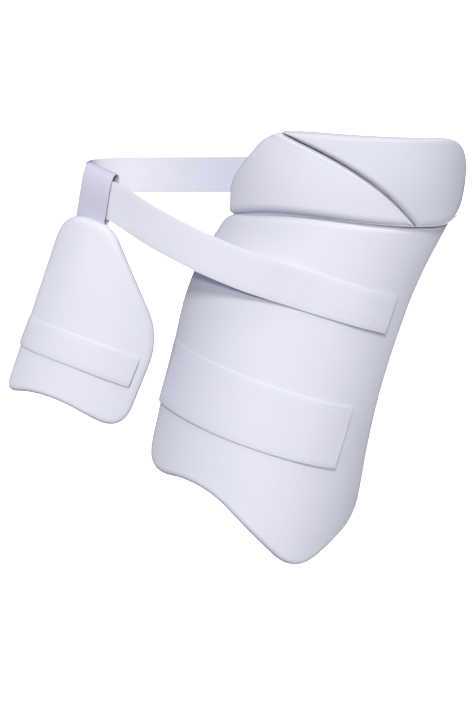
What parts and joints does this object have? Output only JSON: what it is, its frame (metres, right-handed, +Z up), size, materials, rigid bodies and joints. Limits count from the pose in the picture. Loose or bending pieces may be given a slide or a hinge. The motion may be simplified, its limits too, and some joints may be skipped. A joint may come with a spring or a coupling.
{
  "type": "cricket thigh pad",
  "caption": "Padded cricket thigh guard with hip panels, a smaller pad for the other thigh, and elastic waist and leg straps, in the form it has when worn.",
  "frame": {"origin": "middle of the wearer's waist, level with the waist strap", "axes": "+Z up the wearer, +X towards the wearer's left hip, -Y the way the wearer faces"},
  "size_m": [0.4582, 0.2575, 0.435],
  "materials": {
    "pad_cover": "matt knitted cover over moulded foam",
    "elastic": "matt woven elastic"
  },
  "bodies": {
    "root": {"outer_pad": "pad_cover", "hip_front_panel": "pad_cover", "hip_rear_panel": "pad_cover", "inner_pad": "pad_cover", "waist_strap": "elastic", "outer_leg_strap": "elastic", "inner_leg_strap": "elastic", "inner_pad_hanger": "elastic"}
  },
  "joints": []
}
